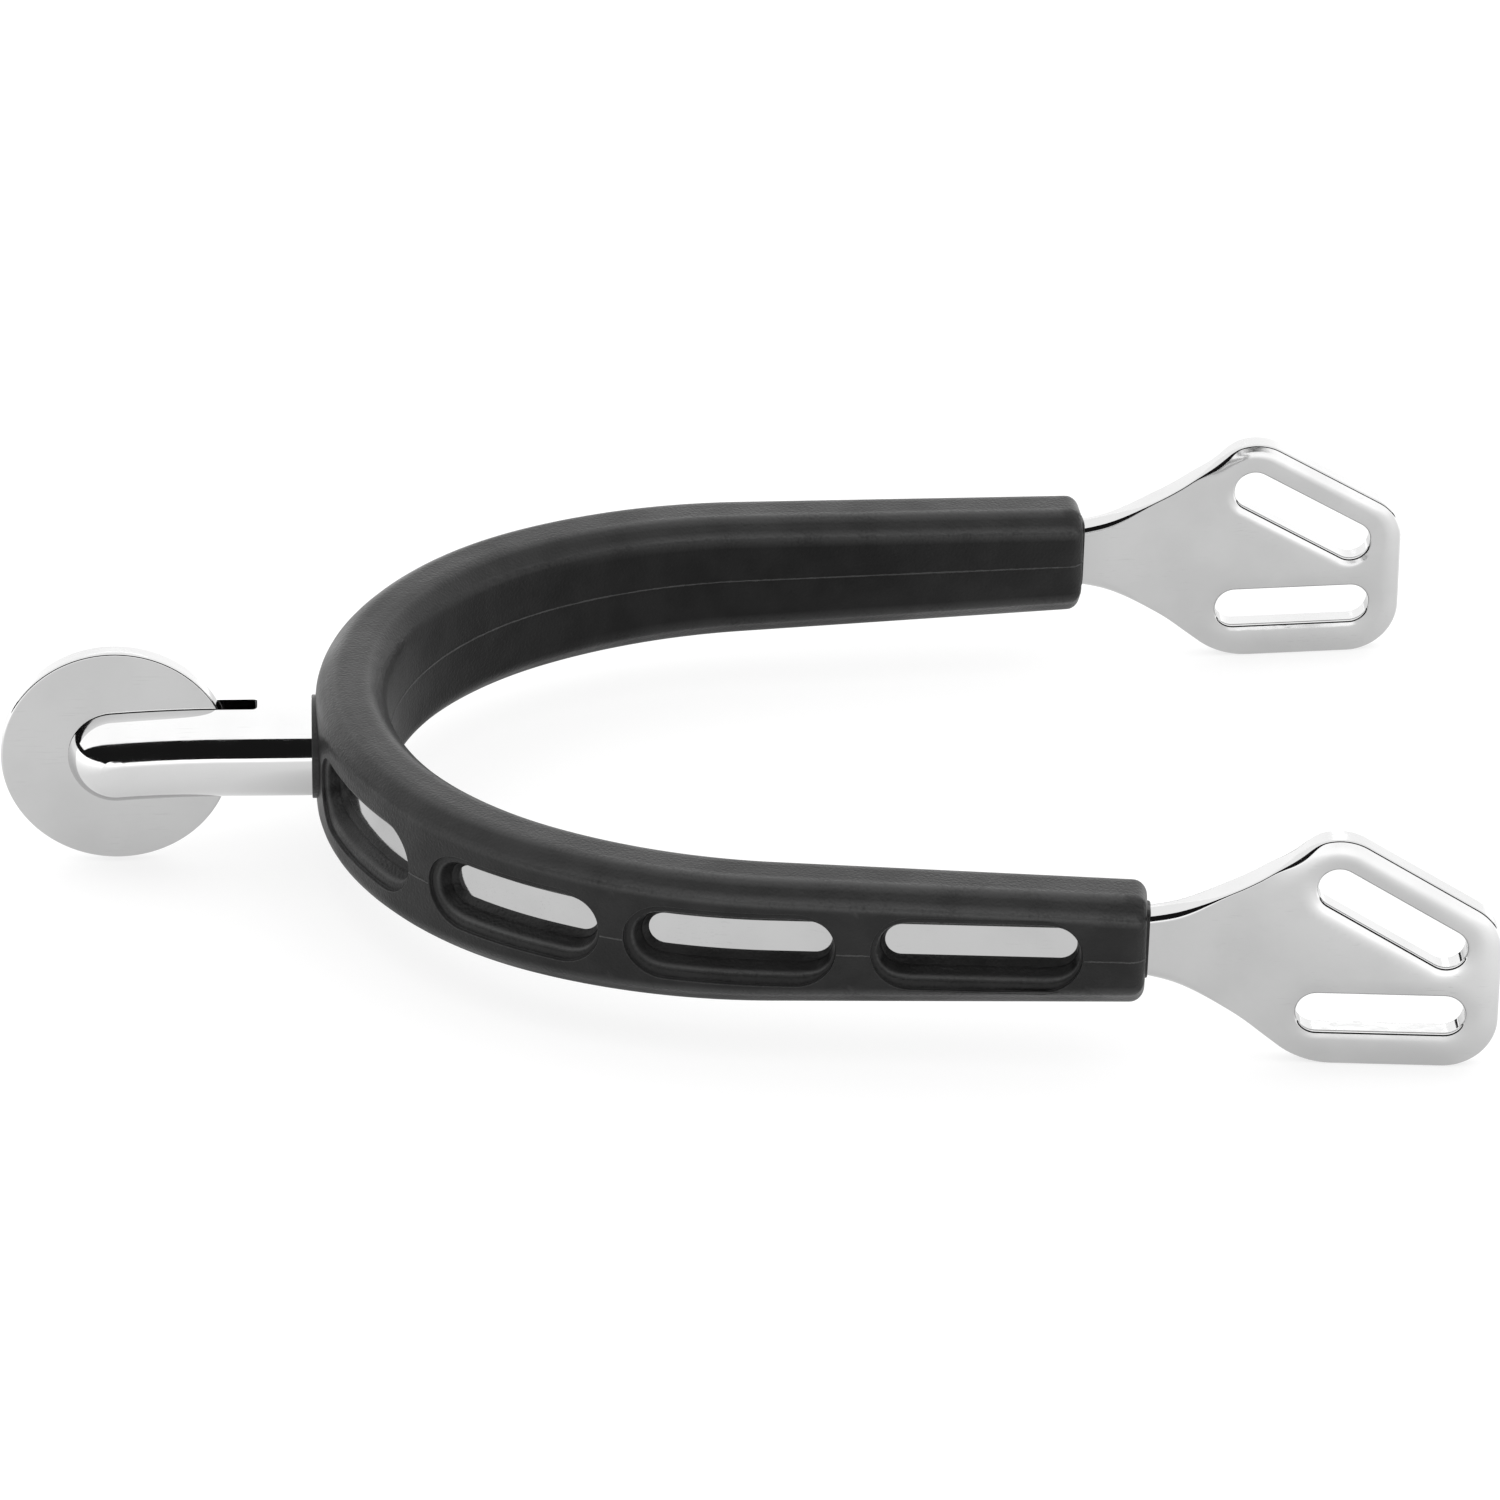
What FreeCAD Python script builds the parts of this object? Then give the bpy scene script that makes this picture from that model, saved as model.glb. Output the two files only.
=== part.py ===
import FreeCAD, Part
import math
import os

# Riding spur: a cast steel heel band with two strap plates, a slotted neck, a free-running
# disc on a riveted pin, and a rubber cover moulded over the band.
# Millimetres. The heel curve's axis is the Z axis and the band's mid-height is z = 0.
# +X points to the toes, the neck points to -X, and the two arms lie either side of y = 0.

from FreeCAD import Vector

# Heel band centreline, seen from above: heel arc, side arc, then a straight arm.
heel_radius = 39.3
heel_half_angle = 60.0
side_radius = 53.1
side_angle = 25.7
arm_length = 37.5
steel_thickness = 2.8

# Band and strap plate seen from the side. Plate sizes run forward from the cover's end.
band_back_height = 11.0
throat_top = 3.3
throat_bottom = -3.0
upper_throat = 5.9
lower_throat = 3.9
upper_flare_radius = 29.0
lower_flare_radius = 24.0
peak = (18.5, 13.8)
peak_radius = 5.3
front_top = (35.5, 3.6)
front_top_radius = 5.2
plate_bottom = -13.0
front_bottom_radius = 5.5
back_bottom = 15.9
back_bottom_radius = 8.5
steel_rounding = 0.9

# Strap slots, two in each plate, of one size.
slot_length = 17.0
slot_width = 4.2
upper_slot = (24.5, 3.8)
upper_slot_tilt = -31.0
lower_slot = (23.7, -7.1)
slot_rim_rounding = 0.9

# Neck, whose end droops slightly, and the slot that the disc turns in.
neck_diameter = 10.25
disc_reach = 24.6
droop_length = 11.3
droop = 0.43
disc_slot_width = 2.3
disc_slot_depth = 14.8
disc_slot_corner = 0.5
spigot_diameter = 6.0
spigot_overlap = 2.0

# Disc and the pin it turns on.
disc_diameter = 24.0
disc_thickness = 2.0
disc_edge_rounding = 0.25
pin_diameter = 3.0
pin_clearance = 0.05

# Rubber cover. The windows are placed by their distance along the band from the neck.
cover_thickness = 7.5
cover_back_height = 16.25
cover_front_height = 12.1
cover_bevel = 1.9
cover_edge_rounding = 0.75
cover_end_rounding = 1.5
end_lip_width = 0.35
end_lip_length = 0.45
end_lip_height = 7.8
collar_width = 0.3
collar_length = 0.4
window_centres = (15.9, 38.9, 61.0, 85.5)
window_lengths = (21.2, 19.2, 20.8, 21.4)
window_height = 8.4
window_mid_height = -0.15
window_narrowing = 4.0
window_overrun = 0.8

# Cutting tools and trimming blocks reach this far past what they work on.
spare = 30.0

# Points nearer than this count as being in one place.
same_place = 0.01

up = Vector(0, 0, 1)
side_end_angle = heel_half_angle + side_angle
heel_run = heel_radius * math.radians(heel_half_angle)
side_run = side_radius * math.radians(side_angle)
disc_centre = Vector(-heel_radius - disc_reach, 0, -droop)


def outward(angle, side):
    """Level direction out of the band, angle degrees round from the neck, on side -1 or 1."""
    turn = math.radians(angle)
    return Vector(-math.cos(turn), side * math.sin(turn), 0)


def along(angle, side):
    """Level direction along the band towards the toes."""
    turn = math.radians(angle)
    return Vector(math.sin(turn), side * math.cos(turn), 0)


def heel_point(angle, side, offset):
    return outward(angle, side) * (heel_radius + offset)


def side_point(angle, side, offset):
    centre = outward(heel_half_angle, side) * (heel_radius - side_radius)
    return centre + outward(angle, side) * (side_radius + offset)


def arm_point(run, side, offset):
    return side_point(side_end_angle, side, offset) + along(side_end_angle, side) * run


def band_place(distance, side):
    """Centreline point and its angle, at a distance along the band from the neck."""
    if distance < heel_run:
        angle = math.degrees(distance / heel_radius)
        return heel_point(angle, side, 0), angle
    if distance < heel_run + side_run:
        angle = heel_half_angle + math.degrees((distance - heel_run) / side_radius)
        return side_point(angle, side, 0), angle
    return arm_point(distance - heel_run - side_run, side, 0), side_end_angle


def band_edges(offset, run):
    """Edges along one face of the band, from the near arm's end round to the far arm's end."""
    middle = heel_half_angle + side_angle / 2
    near = [side_point(angle, -1, offset) for angle in (side_end_angle, middle, heel_half_angle)]
    far = [side_point(angle, 1, offset) for angle in (heel_half_angle, middle, side_end_angle)]
    return [
        Part.LineSegment(arm_point(run, -1, offset), near[0]).toShape(),
        Part.Arc(*near).toShape(),
        Part.Arc(near[2], heel_point(0, 1, offset), far[0]).toShape(),
        Part.Arc(*far).toShape(),
        Part.LineSegment(far[2], arm_point(run, 1, offset)).toShape(),
    ]


def band_prism(inner, outer, run, height):
    """Upright U-shaped wall between two offsets from the centreline."""
    edges = band_edges(inner, run) + band_edges(outer, run)
    for side in (-1, 1):
        ends = (arm_point(run, side, inner), arm_point(run, side, outer))
        edges.append(Part.LineSegment(*ends).toShape())
    wire = Part.Wire(Part.__sortEdges__(edges))
    wall = Part.Face(wire).extrude(up * height)
    wall.translate(up * (-height / 2))
    return wall


def rounded_wire(corners):
    """Closed outline through (point, radius) corners, each rounded by an arc of its radius."""
    edges = []
    joints = []
    for index, (point, radius) in enumerate(corners):
        back = (corners[index - 1][0] - point).normalize()
        ahead = (corners[(index + 1) % len(corners)][0] - point).normalize()
        half = back.getAngle(ahead) / 2
        if radius == 0:
            joints.append((point, point))
            continue
        reach = radius / math.tan(half)
        bisector = (back + ahead).normalize()
        crown = point + bisector * (radius / math.sin(half) - radius)
        start = point + back * reach
        end = point + ahead * reach
        edges.append(Part.Arc(start, crown, end).toShape())
        joints.append((start, end))
    for index, (start, end) in enumerate(joints):
        if (start - joints[index - 1][1]).Length > 1e-6:
            edges.append(Part.LineSegment(joints[index - 1][1], start).toShape())
    return Part.Wire(Part.__sortEdges__(edges))


def side_block(corners):
    """Block with a rounded outline in the XZ plane, through both arms."""
    half_width = heel_radius + spare
    outline = rounded_wire([(Vector(x, -half_width, z), radius) for x, z, radius in corners])
    return Part.Face(outline).extrude(Vector(0, 2 * half_width, 0))


def slot_wire(length, width):
    """Slot outline with round ends, in the XY plane about the origin, along X."""
    reach = length / 2
    half = width / 2
    radius = half - same_place
    corners = [(-reach, -half), (reach, -half), (reach, half), (-reach, half)]
    return rounded_wire([(Vector(x, y, 0), radius) for x, y in corners])


def tapered_height(x, back_height, front_height):
    """Height that falls evenly from the back of the band to the cover's end."""
    run = cover_end_x() + heel_radius
    return back_height + (front_height - back_height) * (x + heel_radius) / run


def cover_end_x():
    return arm_point(arm_length, 1, 0).x


def make_band():
    back_x = -heel_radius - spare
    back_half = tapered_height(back_x, band_back_height, throat_top - throat_bottom) / 2
    end = cover_end_x()
    block = side_block([
        (back_x, back_half, 0),
        (end + upper_throat, throat_top, upper_flare_radius),
        (end + peak[0], peak[1], peak_radius),
        (end + front_top[0], front_top[1], front_top_radius),
        (end + front_top[0], plate_bottom, front_bottom_radius),
        (end + back_bottom, plate_bottom, back_bottom_radius),
        (end + lower_throat, throat_bottom, lower_flare_radius),
        (back_x, -back_half, 0),
    ])
    full_run = arm_length + front_top[0] + spare
    half = steel_thickness / 2
    band = band_prism(-half, half, full_run, 4 * spare).common(block)
    return band.makeFillet(steel_rounding, [edge for edge in band.Edges if is_rim(edge)])


def is_rim(edge):
    """Whether an edge runs along the band's inner or outer face, not across its thickness."""
    start, end = (vertex.Point for vertex in edge.Vertexes)
    return abs((end - start).Length - steel_thickness) > 2 * same_place


def cut_strap_slots(band):
    for side in (-1, 1):
        for (forward, height), tilt in ((upper_slot, upper_slot_tilt), (lower_slot, 0.0)):
            centre = arm_point(arm_length + forward, side, 0) + up * height
            tool = Part.Face(slot_wire(slot_length, slot_width)).extrude(up * spare)
            tool.translate(up * (-spare / 2))
            tool.rotate(Vector(), Vector(1, 0, 0), 90)
            tool.rotate(Vector(), Vector(0, 1, 0), -tilt)
            tool.rotate(Vector(), up, side * (90 - side_end_angle))
            tool.translate(centre)
            band = band.cut(tool)
            rims = [edge for edge in band.Edges if is_slot_rim(edge, centre, side)]
            band = band.makeFillet(slot_rim_rounding, rims)
    return band


def is_slot_rim(edge, centre, side):
    """Whether an edge lies round the slot at this centre, in one of the plate's two faces."""
    across = outward(side_end_angle, side)
    spots = [vertex.Point - centre for vertex in edge.Vertexes]
    in_face = all(abs(abs(spot.dot(across)) - steel_thickness / 2) < same_place for spot in spots)
    reach = slot_length / 2 + steel_thickness
    return in_face and all(spot.Length < reach for spot in spots)


def make_neck_bar():
    """Round bar, straight and then drooping, with a round tip about the disc's axis."""
    radius = neck_diameter / 2
    bend_radius = (droop_length ** 2 + droop ** 2) / (2 * droop)
    bend_angle = math.degrees(math.asin(droop_length / bend_radius))
    bend_start = disc_centre + Vector(droop_length, 0, droop)
    straight = Part.makeCylinder(radius, -heel_radius - bend_start.x, bend_start, Vector(1, 0, 0))
    section = Part.Face(Part.Wire(Part.Circle(bend_start, Vector(1, 0, 0), radius).toShape()))
    bend_axis = bend_start - up * bend_radius
    bend = section.revolve(bend_axis, Vector(0, -1, 0), bend_angle)
    tip = Part.makeSphere(radius, disc_centre)
    return straight.fuse([bend, tip]).removeSplitter()


def make_spigot():
    """Short spigot that passes through the band, flush with its inner face."""
    half = steel_thickness / 2
    bar = Part.makeCylinder(spigot_diameter / 2, spare / 2,
                            Vector(-heel_radius - half - spigot_overlap, 0, 0), Vector(1, 0, 0))
    core = Part.makeCylinder(heel_radius - half, 2 * spare, Vector(0, 0, -spare))
    return bar.cut(core)


def make_neck(bar, spigot, band):
    neck = bar.cut(band).fuse(spigot).removeSplitter()
    slot_end = disc_centre.x + disc_slot_depth
    half = disc_slot_width / 2
    start = slot_end - disc_slot_depth - spare
    plan = rounded_wire([
        (Vector(start, -half, -spare), 0),
        (Vector(slot_end, -half, -spare), disc_slot_corner),
        (Vector(slot_end, half, -spare), disc_slot_corner),
        (Vector(start, half, -spare), 0),
    ])
    return neck.cut(Part.Face(plan).extrude(up * 2 * spare))


def make_pin(bar):
    """Riveted pin, dressed flush with the neck's round cheeks."""
    rod = Part.makeCylinder(pin_diameter / 2, neck_diameter,
                            disc_centre - Vector(0, neck_diameter / 2, 0), Vector(0, 1, 0))
    return rod.common(bar)


def make_disc():
    start = disc_centre - Vector(0, disc_thickness / 2, 0)
    across = Vector(0, 1, 0)
    disc = Part.makeCylinder(disc_diameter / 2, disc_thickness, start, across)
    rims = [edge for edge in disc.Edges if isinstance(edge.Curve, Part.Circle)]
    disc = disc.makeFillet(disc_edge_rounding, rims)
    bore = Part.makeCylinder(pin_diameter / 2 + pin_clearance, disc_thickness, start, across)
    return disc.cut(bore)


def make_window(distance, length, side):
    """Window tool: a slot square to the cover that narrows from its face to the band."""
    centre, angle = band_place(distance, side)
    cover_face = cover_thickness / 2
    depth = cover_face - steel_thickness / 2
    slots = []
    for offset in (cover_face + window_overrun, cover_face - depth - window_overrun):
        narrowing = window_narrowing * (cover_face - offset) / depth
        slot = slot_wire(length - narrowing / 2, window_height - narrowing)
        slot.rotate(Vector(), Vector(1, 0, 0), 90)
        slot.rotate(Vector(), up, side * (90 - angle))
        slot.translate(centre + outward(angle, side) * offset + up * window_mid_height)
        slots.append(slot)
    return Part.makeLoft(slots, True)


def make_cover(band, neck):
    half = cover_thickness / 2
    back_x = -heel_radius - spare
    front_x = cover_end_x() + spare
    outline = []
    for x, sign in ((back_x, 1), (front_x, 1), (front_x, -1), (back_x, -1)):
        height = tapered_height(x, cover_back_height, cover_front_height)
        outline.append((x, sign * height / 2, 0))
    cover = band_prism(-half, half, arm_length, 2 * spare).common(side_block(outline))
    cover = cover.makeChamfer(cover_bevel, [edge for edge in cover.Edges if runs_along(edge)])
    cover = cover.makeFillet(cover_end_rounding, [edge for edge in cover.Edges if at_end(edge)])
    cover = cover.makeFillet(cover_edge_rounding, [edge for edge in cover.Edges if is_long(edge)])
    collar = Part.makeCylinder(neck_diameter / 2 + collar_width, half + collar_length,
                               Vector(-heel_radius - half - collar_length, 0, 0), Vector(1, 0, 0))
    cover = cover.fuse(collar)
    for side in (-1, 1):
        cover = cover.fuse(make_end_lip(side))
    shell = band_prism(steel_thickness / 2, cover_thickness, arm_length, 2 * spare)
    for side in (-1, 1):
        for distance, length in zip(window_centres, window_lengths):
            cover = cover.cut(make_window(distance, length, side).common(shell))
    return cover.cut(band).cut(neck)


def from_end(point):
    """Distance from a point to the cover's end plane on the point's own side."""
    side = -1 if point.y < 0 else 1
    return (point - arm_point(arm_length, side, 0)).dot(along(side_end_angle, side))


def runs_along(edge):
    """Whether an edge leaves the end planes of the cover."""
    return any(abs(from_end(vertex.Point)) > same_place for vertex in edge.Vertexes)


def at_end(edge):
    """Whether an edge is in the outline of an end face."""
    return not runs_along(edge)


def is_long(edge):
    """Whether an edge follows the band for more than the cover's own thickness."""
    start, end = (vertex.Point for vertex in edge.Vertexes)
    return math.hypot(end.x - start.x, end.y - start.y) > cover_thickness


def make_end_lip(side):
    """Thin cuff round the steel where it leaves the cover."""
    half = steel_thickness / 2 + end_lip_width
    root = 2 * cover_end_rounding
    block = Part.makeBox(root + end_lip_length, 2 * half, end_lip_height,
                         Vector(-root, -half, -end_lip_height / 2))
    block = block.makeFillet(end_lip_width, [edge for edge in block.Edges if edge.BoundBox.XMin > 0])
    block.rotate(Vector(), up, side * (90 - side_end_angle))
    block.translate(arm_point(arm_length, side, 0))
    return block


def main():
    os.makedirs("parts", exist_ok=True)
    plain_band = cut_strap_slots(make_band())
    bar = make_neck_bar()
    spigot = make_spigot()
    pin = make_pin(bar)
    neck = make_neck(bar, spigot, plain_band)
    cover = make_cover(plain_band, neck)
    shapes = {
        "heel_band": plain_band.cut(spigot),
        "neck": neck.cut(pin),
        "rowel_disc": make_disc(),
        "rowel_pin": pin,
        "grip_cover": cover,
    }
    for name, shape in shapes.items():
        solid = shape.Solids[0] if len(shape.Solids) == 1 else shape
        print(name, "solids", len(shape.Solids), "valid", shape.isValid(),
              "volume", round(shape.Volume, 1), "faces", len(shape.Faces))
        solid.exportStep("parts/" + name + ".step")


main()
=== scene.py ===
import math
import random
import bpy
from mathutils import Matrix, Vector, geometry, kdtree


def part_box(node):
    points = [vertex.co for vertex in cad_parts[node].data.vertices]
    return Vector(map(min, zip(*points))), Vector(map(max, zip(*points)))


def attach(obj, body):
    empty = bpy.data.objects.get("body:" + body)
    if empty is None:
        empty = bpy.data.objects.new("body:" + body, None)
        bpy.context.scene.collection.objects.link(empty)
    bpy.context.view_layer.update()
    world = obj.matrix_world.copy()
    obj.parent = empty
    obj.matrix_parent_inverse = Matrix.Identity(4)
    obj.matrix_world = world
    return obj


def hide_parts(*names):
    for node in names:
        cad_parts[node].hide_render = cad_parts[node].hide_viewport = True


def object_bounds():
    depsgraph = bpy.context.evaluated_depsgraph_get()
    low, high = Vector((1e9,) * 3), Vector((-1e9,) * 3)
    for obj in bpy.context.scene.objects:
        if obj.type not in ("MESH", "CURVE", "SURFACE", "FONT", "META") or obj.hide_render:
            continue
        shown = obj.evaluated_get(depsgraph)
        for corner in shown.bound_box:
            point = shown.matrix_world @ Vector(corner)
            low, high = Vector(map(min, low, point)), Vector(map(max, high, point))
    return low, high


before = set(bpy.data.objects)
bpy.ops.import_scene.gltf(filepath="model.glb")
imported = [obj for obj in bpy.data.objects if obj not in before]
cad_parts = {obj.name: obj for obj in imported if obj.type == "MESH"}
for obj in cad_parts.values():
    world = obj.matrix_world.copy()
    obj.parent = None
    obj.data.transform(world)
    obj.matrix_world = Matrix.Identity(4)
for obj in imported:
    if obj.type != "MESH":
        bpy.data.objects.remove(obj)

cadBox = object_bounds()
mm = 0.001

# camera: azimuth 0 looks along +Y, distances in metres
cameraView = {
    "azimuth": -2.83,
    "elevation": 27.79,
    "roll": 0.74,
    "distance": 0.889,
    "lens": 209.8,
    "aim": (0.0012, -0.0242, 0.0118),
}

# soft panels: centre, way it shines, width and depth, brightness
studioPanels = {
    "ceiling": ((0, 0.5, 1.2), (0, 0, -1), (16.0, 3.34), 1.5),
    "backWall": ((0, 2.1, 0.6), (0, -1, 0), (8.0, 1.2), 1.6),
}

floorLook = {
    "reach": 6,
    "paper": 0.3,
    "roughness": 0.9,
    "seenGlow": 0.72,     # what the camera sees
    "innerGlow": 0.2,     # what the pieces mirror close in: a dim glow, a painted shade near the object
    "glowSteps": ((0.035, 0.062, 0.46), (0.095, 0.165, 0.84)),    # grows from, grows to, by how much
    "glowShape": (1.15, 1, 1),
    "dark": 0.012,        # what little comes from the open front of the studio
}

# the rubber cover moulded over the band; lengths in millimetres, run measured from the neck
coverShape = {
    "heelRadius": 39.3,
    "heelAngle": 60.0,
    "sideRadius": 53.1,
    "sideAngle": 25.7,
    "armLength": 37.5,
    "halfThickness": 3.75,
    "backHeight": 16.25,
    "frontHeight": 12.1,
    "bevel": 1.9,
    "edgeSoftness": 0.75,
    "heelSoftness": 2.3,      # the edges are rounder at the heel
    "softStart": 12,
    "softRun": 62.0,
    "endRounding": 1.5,
    "steelHalf": 1.4,
    "cuffStand": 0.32,        # how far the end cuff stands off the steel
    "cuffTop": 3.8,
    "cuffBottom": -3.6,
    "cuffLength": 0.4,
    # the collar round the neck: how far off the cover, how far off the neck
    "collarSection": ((-0.9, 0.3), (0.3, 0.3), (0.37, 0.27), (0.4, 0.2), (0.4, 0.1), (0.36, 0.03),
                      (0.3, 0.0)),
    "collarSteps": 96,
    # painted highlight on the collar, 0 to 1
    "collarHighlight": 0.4,
    "columnStep": 0.5,
    "sideRows": 14,
}

# windows: run start and end, opening start and end at the steel
coverWindows = (
    (6.4, 26.5, 7.3, 25.6),
    (29.3, 48.4, 31.3, 47.5),
    (50.7, 71.4, 52.7, 71.0),
    (74.8, 96.2, 76.3, 95.6),
)
windowRim = {
    "bottom": -4.3,
    "top": 4.0,
    "openingBottom": -1.4,
    "openingTop": 2.0,
    "cellEdges": (4.75, 27.9, 49.55, 73.1, 97.3),
}

# window wall, from the cover's face down to the steel: how far in (0 to 1), how deep (0 to 1)
windowWall = (
    (-0.035, 0.0), (-0.012, 0.0), (0, 0.004), (0.007, 0.02), (0.011, 0.06), (0.014, 0.13),
    (0.026, 0.162), (0.053, 0.17), (0.106, 0.165), (0.176, 0.16), (0.246, 0.165), (0.308, 0.18),
    (0.361, 0.205), (0.405, 0.24), (0.449, 0.29), (0.484, 0.35), (0.519, 0.43), (0.554, 0.52),
    (0.598, 0.62), (0.642, 0.715), (0.664, 0.76), (0.678, 0.82), (0.691, 0.825), (0.704, 0.79),
    (0.734, 0.8), (0.793, 0.84), (0.896, 0.92), (1.0, 1.0), (1.015, 1.03),
)
# painted highlight on the window's lip and bead: lip width and strength, bead place, width and strength
windowHighlights = {"lipWidth": 0.02, "lip": 0.8, "bead": 0.41, "beadWidth": 0.1, "beadHighlight": 0.9}

# the fine raised line where the mould's halves met
flashShape = {
    "outerHeight": -0.5,
    "innerHeight": 0.1,
    "halfWidth": 0.1,
    "height": 0.1,
    "wander": 0.018,
}


def smooth(value, low, high):
    share = min(1, max(0, (value - low) / (high - low)))
    return share * share * (3 - 2 * share)


def addCamera(view):
    turn, tilt, roll = (math.radians(view[key]) for key in ("azimuth", "elevation", "roll"))
    back = Vector((math.sin(turn) * math.cos(tilt), -math.cos(turn) * math.cos(tilt), math.sin(tilt)))
    level = Vector((math.cos(turn), math.sin(turn), 0))
    rise = back.cross(level)
    right = level * math.cos(roll) + rise * math.sin(roll)
    top = rise * math.cos(roll) - level * math.sin(roll)
    data = bpy.data.cameras.new("camera")
    data.lens = view["lens"]
    data.sensor_width = 36
    data.clip_start = 0.05
    camera = bpy.data.objects.new("camera", data)
    place = Matrix((right, top, back)).transposed().to_4x4()
    place.translation = Vector(view["aim"]) + back * view["distance"]
    camera.matrix_world = place
    bpy.context.scene.collection.objects.link(camera)
    bpy.context.scene.camera = camera


def addPanel(name, centre, facing, size, brightness):
    data = bpy.data.lights.new(name, "AREA")
    data.shape = "RECTANGLE"
    data.size, data.size_y = size
    data.energy = brightness * math.pi * size[0] * size[1]
    panel = bpy.data.objects.new(name, data)
    panel.location = centre
    panel.rotation_euler = Vector(facing).to_track_quat("-Z", "Y").to_euler()
    panel.visible_camera = False
    bpy.context.scene.collection.objects.link(panel)
    return panel


def addFloor(height, look):
    reach = look["reach"]
    mesh = bpy.data.meshes.new("floor")
    mesh.from_pydata([(-reach, -reach, height), (reach, -reach, height), (reach, reach, height),
                      (-reach, reach, height)], [], [(0, 1, 2, 3)])
    floor = bpy.data.objects.new("floor", mesh)
    bpy.context.scene.collection.objects.link(floor)
    paper = bpy.data.materials.new("floorPaper")
    paper.use_nodes = True
    shader = paper.node_tree.nodes["Principled BSDF"]
    shader.inputs["Base Color"].default_value = (look["paper"],) * 3 + (1,)
    shader.inputs["Roughness"].default_value = look["roughness"]
    shader.inputs["Emission Color"].default_value = (1, 1, 1, 1)
    shader.inputs["Emission Strength"].default_value = 1
    nodes, links = paper.node_tree.nodes, paper.node_tree.links
    place = nodes.new("ShaderNodeTexCoord")
    oval = nodes.new("ShaderNodeVectorMath")
    oval.operation = "MULTIPLY"
    oval.inputs[1].default_value = look["glowShape"]
    distance = nodes.new("ShaderNodeVectorMath")
    distance.operation = "LENGTH"
    # the glow the pieces mirror: a painted shade close to the object, rising to painted light further out
    glow = None
    for start, end, more in look["glowSteps"]:
        growth = nodes.new("ShaderNodeMapRange")
        growth.inputs["From Min"].default_value = start
        growth.inputs["From Max"].default_value = end
        growth.inputs["To Max"].default_value = more
        links.new(distance.outputs["Value"], growth.inputs["Value"])
        total = nodes.new("ShaderNodeMath")
        total.inputs[1].default_value = look["innerGlow"]
        links.new(growth.outputs["Result"], total.inputs[0])
        if glow:
            links.new(glow, total.inputs[1])
        glow = total.outputs[0]
    # the floor itself is seen as plain pale paper; the pieces mirror the graded glow instead, a painted shade
    # close in and painted light further out
    ray = nodes.new("ShaderNodeLightPath")
    seen = nodes.new("ShaderNodeMix")
    seen.inputs["B"].default_value = look["seenGlow"]
    links.new(ray.outputs["Is Camera Ray"], seen.inputs["Factor"])
    links.new(glow, seen.inputs["A"])
    links.new(place.outputs["Object"], oval.inputs[0])
    links.new(oval.outputs["Vector"], distance.inputs[0])
    links.new(seen.outputs["Result"], shader.inputs["Emission Color"])
    mesh.materials.append(paper)
    return floor


addCamera(cameraView)
addFloor(cadBox[0][2], floorLook)
for name, panel in studioPanels.items():
    addPanel(name, *panel)
world = bpy.data.worlds.new("room")
world.use_nodes = True
world.node_tree.nodes["Background"].inputs["Color"].default_value = (floorLook["dark"],) * 3 + (1,)
bpy.context.scene.world = world
bpy.context.scene.view_settings.view_transform = "Standard"
print("camera, floor and light ready")


# ways along the band's middle line: run is the distance from the neck

heelRun = coverShape["heelRadius"] * math.radians(coverShape["heelAngle"])
sideRun = coverShape["sideRadius"] * math.radians(coverShape["sideAngle"])
fullRun = heelRun + sideRun + coverShape["armLength"]


def bandPlace(run):
    # point and outward direction at a run, on the near side
    shape = coverShape
    if run <= heelRun:
        turn = run / shape["heelRadius"]
        away = Vector((-math.cos(turn), -math.sin(turn), 0))
        return away * shape["heelRadius"], away
    bend = math.radians(shape["heelAngle"])
    hub = Vector((-math.cos(bend), -math.sin(bend), 0)) * (shape["heelRadius"] - shape["sideRadius"])
    turn = bend + min(run - heelRun, sideRun) / shape["sideRadius"]
    away = Vector((-math.cos(turn), -math.sin(turn), 0))
    onward = Vector((math.sin(turn), -math.cos(turn), 0))
    return hub + away * shape["sideRadius"] + onward * max(0, run - heelRun - sideRun), away


frontX = bandPlace(fullRun)[0].x


def halfHeight(x):
    shape = coverShape
    fall = (shape["frontHeight"] - shape["backHeight"]) / (frontX + shape["heelRadius"])
    return (shape["backHeight"] + fall * (x + shape["heelRadius"])) / 2


def softness(run):
    # radius that rounds the section's corners: large at the heel, small along the arms
    shape = coverShape
    share = smooth(run, shape["softStart"], shape["softRun"])
    return shape["heelSoftness"] + share * (shape["edgeSoftness"] - shape["heelSoftness"])


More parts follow.
